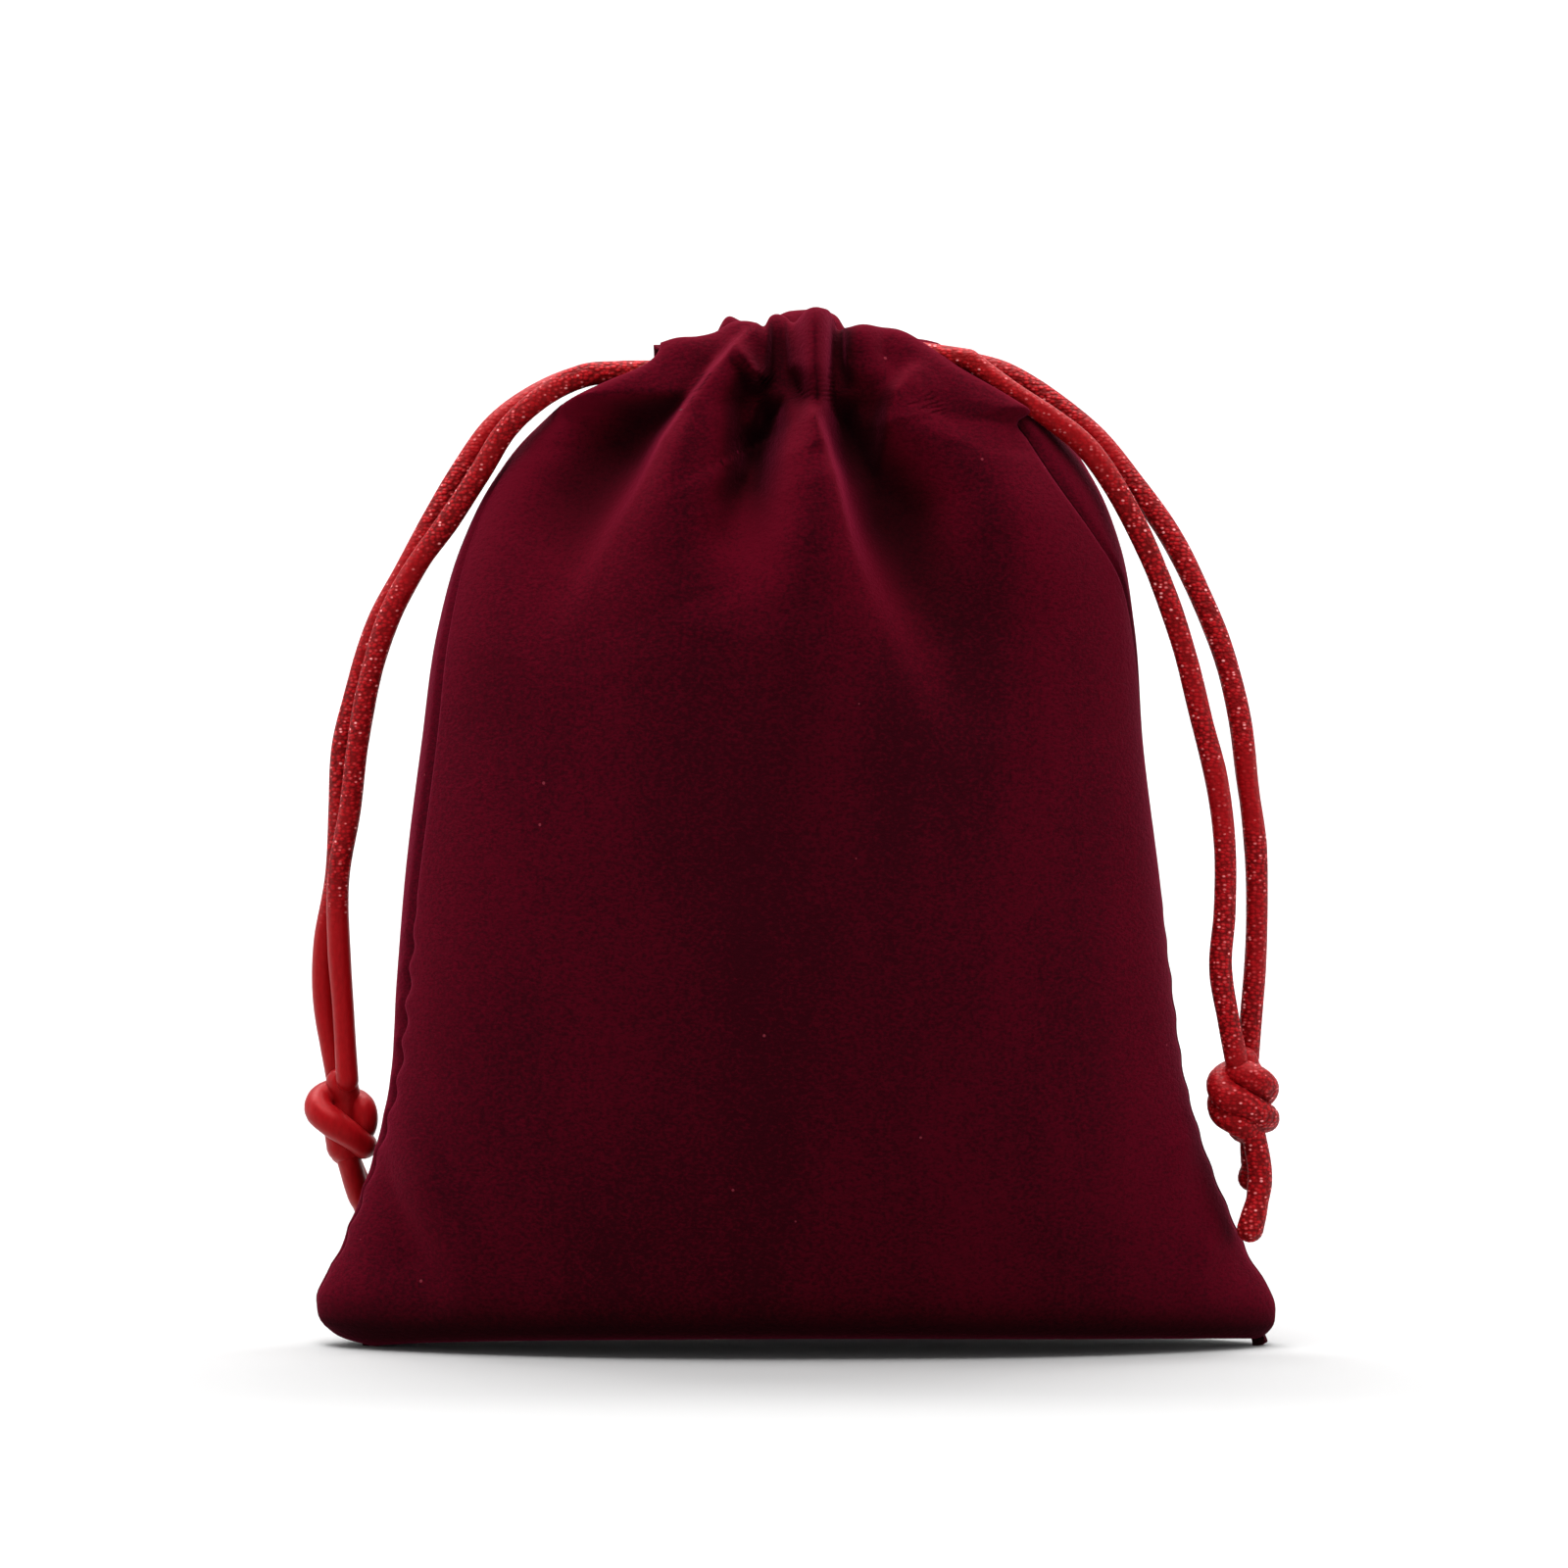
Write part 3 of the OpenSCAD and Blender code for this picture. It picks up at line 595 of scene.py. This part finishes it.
# Folds of the front, each with the width of its flanks and a path of points listed
# downwards: across, height, how far it stands out, half width
FRONT_FOLDS = [
    # the long crest from the mouth down to the left, steep on its left
    (dict(left=0.13, right=1.5), [(-6.2, 126, 1.4, 3), (-10.2, 121.4, 3.2, 4.2),
                                 (-12.8, 117.8, 4.0, 4.8), (-16.1, 113.2, 4.0, 5.4),
                                 (-19.3, 106.6, 2.5, 8), (-22.3, 101, 1.4, 12),
                                 (-25.4, 94, 0.5, 16), (-28, 86, 0, 20)]),
    # the sharp crest that turns down to the right, steep on its right
    (dict(left=1.8, right=0.15), [(-1.4, 121, 0, 2), (0.2, 118.6, 0.4, 3.4), (2.0, 116.2, 2.2, 4.8),
                                  (3.2, 112.9, 4.4, 5.6), (4.5, 108.9, 4.8, 6.0),
                                  (5.5, 104.3, 4.0, 7), (6.6, 99.8, 3.0, 9), (8.2, 95, 1.9, 13),
                                  (11.4, 87.4, 0.9, 17), (18, 73, 0, 20)]),
    # the deep groove between them
    (dict(), [(-2.3, 131, -2.6, 0.9), (-2.1, 122, -2.8, 1.0), (-2.8, 117.8, -3.4, 1.3),
              (-3.4, 114.2, -4.2, 1.8), (-4.7, 110.6, -5.0, 2.4), (-5.8, 107, -4.2, 3.0),
              (-6.6, 103, -2.8, 3.8), (-7.8, 98, -1.4, 5), (-9, 90, 0, 6)]),
    # the shaded valley inside the left pleat
    (dict(), [(-5.6, 121.4, 0, 1.2), (-6.4, 118, -2.2, 1.7), (-6.4, 113, -2.0, 1.9),
              (-5.6, 109, 0, 2)]),
    # the round pleat in the middle of the mouth
    (dict(), [(2.2, 131, 3.6, 2.0), (2.3, 122, 4.0, 2.1), (2.6, 117, 3.0, 2.1),
              (2.9, 112, 0, 2.2)]),
    # the crease on the right of the round pleat
    (dict(), [(5.0, 131, -3.0, 0.8), (4.9, 122, -3.2, 0.9), (5.2, 116, -3.0, 1.3),
              (6.2, 111, -1.6, 2), (7, 107, 0, 2)]),
    # the shade on the left of the round pleat
    (dict(), [(-0.6, 122, 0, 0.9), (-0.2, 120, -2.0, 1.2), (0.8, 117.8, -1.6, 1.2),
              (1.6, 116, 0, 1)]),
    # the hollow under the sharp crest
    (dict(left=0.7, right=1.5), [(6.6, 121, -0.6, 2), (7.4, 114, -2.4, 3), (9.4, 108.6, -4.4, 4.6),
                                 (11.6, 103, -5.2, 6.0), (14.6, 96, -3.8, 7), (19, 87, -1.6, 8),
                                 (24, 75, 0, 10)]),
    # the small pleat at the right of the crease
    (dict(), [(7.8, 131, 1.6, 1.9), (7.8, 122, 1.2, 2.2), (8.2, 117, 0, 2.6)]),
    # the large soft bulge on the right, with an arched edge
    (dict(left=0.35, right=1.3), [(17.4, 122.4, 0, 3), (14.4, 121.2, 1.0, 3.4),
                                  (12.2, 118.8, 1.8, 3.6), (11.2, 114.6, 2.1, 3.8),
                                  (10.6, 110.6, 1.2, 4), (10.6, 106, 0, 4)]),
    (dict(), [(25, 119, 0, 6), (22, 112, 1.5, 8), (23, 102, 1.4, 10), (26, 90, 0, 12)]),
    # the groove between the two right pleats at the mouth
    (dict(), [(11.4, 131, -1.6, 1.2), (11.8, 124, -1.4, 1.3), (13, 121.5, 0, 1.4)]),
    # the hollow on the left of the long crest
    (dict(left=1.3, right=0.8), [(-12.6, 122.6, -0.8, 1.8), (-15.8, 117.4, -2.4, 2.8),
                                 (-20.4, 111.6, -3.8, 4.4), (-25.6, 105, -3.4, 6),
                                 (-29.6, 97, -1.4, 8), (-33, 86, 0, 9)]),
    # the notches in the left of the mouth
    (dict(), [(-9.6, 131, -1.9, 1.1), (-10.6, 124.6, -1.8, 1.3), (-12.8, 121.6, -0.8, 1.6),
              (-14, 119, 0, 2)]),
    (dict(), [(-15.6, 131, -1.3, 1.2), (-16.4, 123, -1.2, 1.6), (-19, 118.6, 0, 2)]),
    # the nose in the left pleat
    (dict(), [(-7.4, 124.4, 0.8, 0.9), (-6.4, 122.8, 1.3, 0.9), (-5, 120.9, 1.4, 0.8),
              (-3, 120, 1.0, 0.7)]),
    (dict(), [(-6.8, 122, -0.8, 0.9), (-5.6, 119.7, -1.4, 0.9), (-3.4, 118.8, -0.8, 0.8)]),
    # soft bands on the belly
    (dict(), [(-16, 104, 0.6, 7), (-17, 86, 0.6, 8), (-18, 60, 0, 10)]),
    (dict(), [(0, 100, 0.8, 6), (0, 80, 0.6, 7), (0, 60, 0, 9)]),
    (dict(), [(28, 104, 0.8, 8), (32, 84, 0.6, 9), (34, 60, 0, 10)]),
    # pulls towards the corners
    (dict(left=1.3, right=0.7), [(-53, 29, 0, 2), (-50.5, 20, -1.2, 2.6), (-47, 12, -1.1, 3.2),
                                 (-43, 5, 0, 3)]),
    (dict(), [(-50, 32, 0, 2), (-46, 22, 0.7, 3), (-41, 13, 0.5, 4), (-38, 5, 0, 4)]),
    (dict(), [(50.5, 32, 0, 1.6), (48.5, 26, 0.7, 1.8), (45.5, 18, 0, 2.4)]),
    (dict(), [(53.5, 18, 0, 1.6), (51.4, 12.6, 0.6, 1.8), (48, 7, 0, 2.2)]),
]


def generic_gathers(x, z, seed, count, depth, reach):
    """Even small pleats that fan out from the mouth and die away below it."""
    rng = np.random.default_rng(seed)
    total = np.zeros(x.shape)
    for i in range(count):
        top_x = -17.5 + 35 * (i + rng.uniform(0.2, 0.8)) / count
        fan = 1 + rng.uniform(0.8, 1.3)
        low = LIP_TOP - reach * rng.uniform(0.6, 1.3)
        height = depth * rng.uniform(0.6, 1.2)
        path = [(top_x, 131, height, 1.3), (top_x * 1.08, 119, height, 1.6),
                (top_x * fan * 0.8, (119 + low) / 2, height * 0.6, 2.8), (top_x * fan, low, 0, 4.5)]
        total += ridge(x, z, path)
        groove = [(px + 1.9 + 0.4 * k, pz, -0.8 * h, w) for k, (px, pz, h, w) in enumerate(path)]
        total += ridge(x, z, groove)
    return total


def undulation(x, z, seed, waves, size):
    """Low soft unevenness of the filled cloth."""
    rng = np.random.default_rng(seed)
    total = np.zeros(x.shape)
    for _ in range(waves):
        kx, kz = rng.uniform(0.03, 0.13), rng.uniform(0.015, 0.06)
        total += np.sin(kx * x * rng.choice((-1, 1)) + kz * z + rng.uniform(0, 6.3))
    return size * total / math.sqrt(waves)


def front_relief(x, z):
    """How far the front stands out from its smooth shape."""
    total = sum(ridge(x, z, path, **flanks) for flanks, path in FRONT_FOLDS)
    total = 1.35 * total
    # the cords lie close behind the cloth of the casing
    least = -6 + (4.9 + 1.1 * smooth(9, 14, np.abs(x))) * smooth(114, 119, z)
    total = np.where(total < least + 0.6, least + 0.6 * np.exp((total - least - 0.6) / 0.6), total)
    return total + undulation(x, z, 3, 7, 0.28)


def back_relief(x, z):
    """Even pleats that stop short of the cords in the casing."""
    total = generic_gathers(x, z, 12, 9, 1.9, 44) + undulation(x, z, 5, 7, 0.4)
    least = -4 + 3.6 * smooth(112, 118, z)
    return np.maximum(total, least)


def seam_turn(z, side):
    """How far round the section the side seam lies towards the front, in degrees."""
    points = {LEFT: [(0, 1), (20, 4), (40, 11), (100, 12), (110, 9), (118, 3), (121, 0), (131, 0)],
              RIGHT: [(0, 1), (40, 3), (84, 5), (95, 11), (101, 21), (108, 29), (113, 30),
                      (117.4, 24), (119.6, 9), (121, 0), (131, 0)]}[side]
    return curve_at(points, z)


def section_power(z):
    """How square a level section is: 1 is an ellipse, and towards 0 it is a box."""
    return np.interp(z, (0, 30, 78, 112, 118, 121), (1.25, 1.0, 1.0, 0.7, 0.36, 0.14))


def panel_grid(face):
    """The smooth panel: points in rows upwards and columns across, before its folds."""
    profile = through([(0, y, z) for y, z in PROFILE], ROW_STEP)
    rise = profile[:, 2]
    depth = profile[:, 1]
    top = int(np.argmax(rise))
    n = len(profile)
    row = np.arange(n)[:, None]
    u = np.linspace(-1, 1, COLUMNS)[None, :]
    level = rise[:, None] + 0 * u
    level_side = np.where(row <= top, level, rise[top])
    inside = np.clip((row - top) / (n - 1 - top), 0, 1)
    turn_left = np.radians(seam_turn(level_side, LEFT))
    turn_right = np.radians(seam_turn(level_side, RIGHT))
    if face == FRONT:
        angle = (math.pi - turn_left) * (1 - u) / 2 + turn_right * (1 + u) / 2
    else:
        angle = (math.pi - turn_left) * (1 - u) / 2 + (2 * math.pi + turn_right) * (1 + u) / 2
    cos, sin = np.cos(angle), np.sin(angle)
    # the top line follows the pleats, so the outline is read at the height that is left
    across = np.where(cos < 0, curve_at(LEFT_EDGE, level_side), curve_at(RIGHT_EDGE, level_side))
    across = across * cos
    rise_top = curve_at(TOP_LINE[face], np.clip(across, -CASING_END_X, CASING_END_X)) - LIP_TOP
    follow = smooth(112, 126, level_side)
    lens = np.abs(sin) ** section_power(level_side) * np.sign(sin)
    share = np.abs(lens)
    sag = (1 - share) * np.where(cos < 0, 2.4, 1.3) * (1 - smooth(2, 14, level))
    lifted = level_side + rise_top * follow - sag
    half = np.where(cos < 0, curve_at(LEFT_EDGE, lifted), curve_at(RIGHT_EDGE, lifted))
    half = half * (1 - 0.02 * inside)
    slit = smooth(116.5, 121, level_side) * SLIT_Y
    slit = np.where(row > top, INNER_SLIT_Y, slit)
    y = -np.sign(sin) * (slit + (depth[:, None] - slit) * share)
    if face == BACK:
        y = np.where(np.abs(sin) < 1e-9, slit, y)
    x = half * cos
    # the bottom line rises in the middle, and the top line follows the pleats
    z = level - sag
    z = z + rise_top * follow * np.where(row > top, 1 - 0.5 * inside, 1)
    return x, y, z, u, inside, n


def panel_points(face):
    """The panel's points with its folds, and how far each stands out, in millimetres."""
    x, y, z, u, inside, n = panel_grid(face)
    relief = front_relief(x, z) if face == FRONT else back_relief(x, z)
    fade = smooth(0, 0.05, 1 - np.abs(u))
    turned_in = np.minimum(relief, 0) + 0.15 * np.maximum(relief, 0)
    relief = relief + smooth(0, 0.3, inside) * (turned_in - relief)
    y = y + face * relief * fade
    # the seam lies in a shallow gutter
    gutter = np.exp(-((1 - np.abs(u)) / 0.016) ** 2) * (1 - smooth(112, 118, z))
    x = x - np.sign(x) * 0.7 * gutter
    pucker = np.exp(-((1 - np.abs(u)) / 0.05) ** 2) * (1 - smooth(44, 60, z)) * smooth(5, 11, z)
    drawn_in = np.where(x < 0, 0.75, 0.4) * pucker
    x = x - np.sign(x) * drawn_in * np.abs(np.sin(math.pi * z / 4.7 + 0.6 * np.sign(x))) ** 2
    return np.stack([x, y, z], axis=-1) * MM, relief, (n, COLUMNS)


def make_panel(face):
    word = "front" if face == FRONT else "back"
    grid, relief, (n, m) = panel_points(face)
    faces = []
    for j in range(n - 1):
        for i in range(m - 1):
            a, b, c, d = j * m + i, j * m + i + 1, (j + 1) * m + i + 1, (j + 1) * m + i
            faces.append((a, b, c, d) if face == FRONT else (d, c, b, a))
    panel = new_mesh(word + "_velvet", grid.reshape(-1, 3), faces, VELVET)
    # the relief is kept on the mesh; the velvet reads it to paint shade into the hollows
    depth = panel.data.attributes.new("relief", "FLOAT", "POINT")
    depth.data.foreach_set("value", relief.ravel().astype(np.float32))
    thick = panel.modifiers.new("thickness", "SOLIDIFY")
    thick.thickness = CLOTH_T * MM
    thick.offset = -1
    thick.use_even_offset = False
    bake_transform(panel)
    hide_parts(word + "_panel", word + "_casing")
    return grid


def casing_stitches(face, grid):
    """Small stitches along the foot of the casing, lying on the gathered cloth."""
    word = "front" if face == FRONT else "back"
    path = []
    heights = grid[:, :, 2]
    fold_row = int(np.argmax(heights[:, COLUMNS // 2]))
    for i in range(int(COLUMNS * 0.06), int(COLUMNS * 0.94)):
        column = heights[:fold_row, i]
        j = int(np.argmin(np.abs(column - STITCH_Z * MM)))
        path.append(grid[j, i] - (0, face * STITCH_SUNK * MM, 0))
    stitches = [tube("stitch", path[start:start + STITCH_LONG], STITCH_R * MM, THREAD, sides=8)
                for start in range(0, len(path) - 8, STITCH_EVERY)]
    merged = join(word + "_hem_stitches", stitches)
    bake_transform(merged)
    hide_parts(word + "_casing_stitching")


def join(name, objects):
    """Many meshes as one piece."""
    bpy.ops.object.select_all(action="DESELECT")
    for piece in objects:
        piece.select_set(True)
    bpy.context.view_layer.objects.active = objects[0]
    bpy.ops.object.join()
    objects[0].name = name
    return objects[0]


def dress_threads():
    """The CAD's own stitches, in thread."""
    for node in ("left_side_seam_thread", "right_side_seam_thread", "bottom_seam_thread",
                 "left_bar_tack", "right_bar_tack"):
        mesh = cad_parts[node].data
        mesh.materials.clear()
        mesh.materials.append(THREAD)


make_camera()
for cord_side in (LEFT, RIGHT):
    make_cord(cord_side)
for panel_face in (FRONT, BACK):
    casing_stitches(panel_face, make_panel(panel_face))
dress_threads()
make_floor()
make_light()
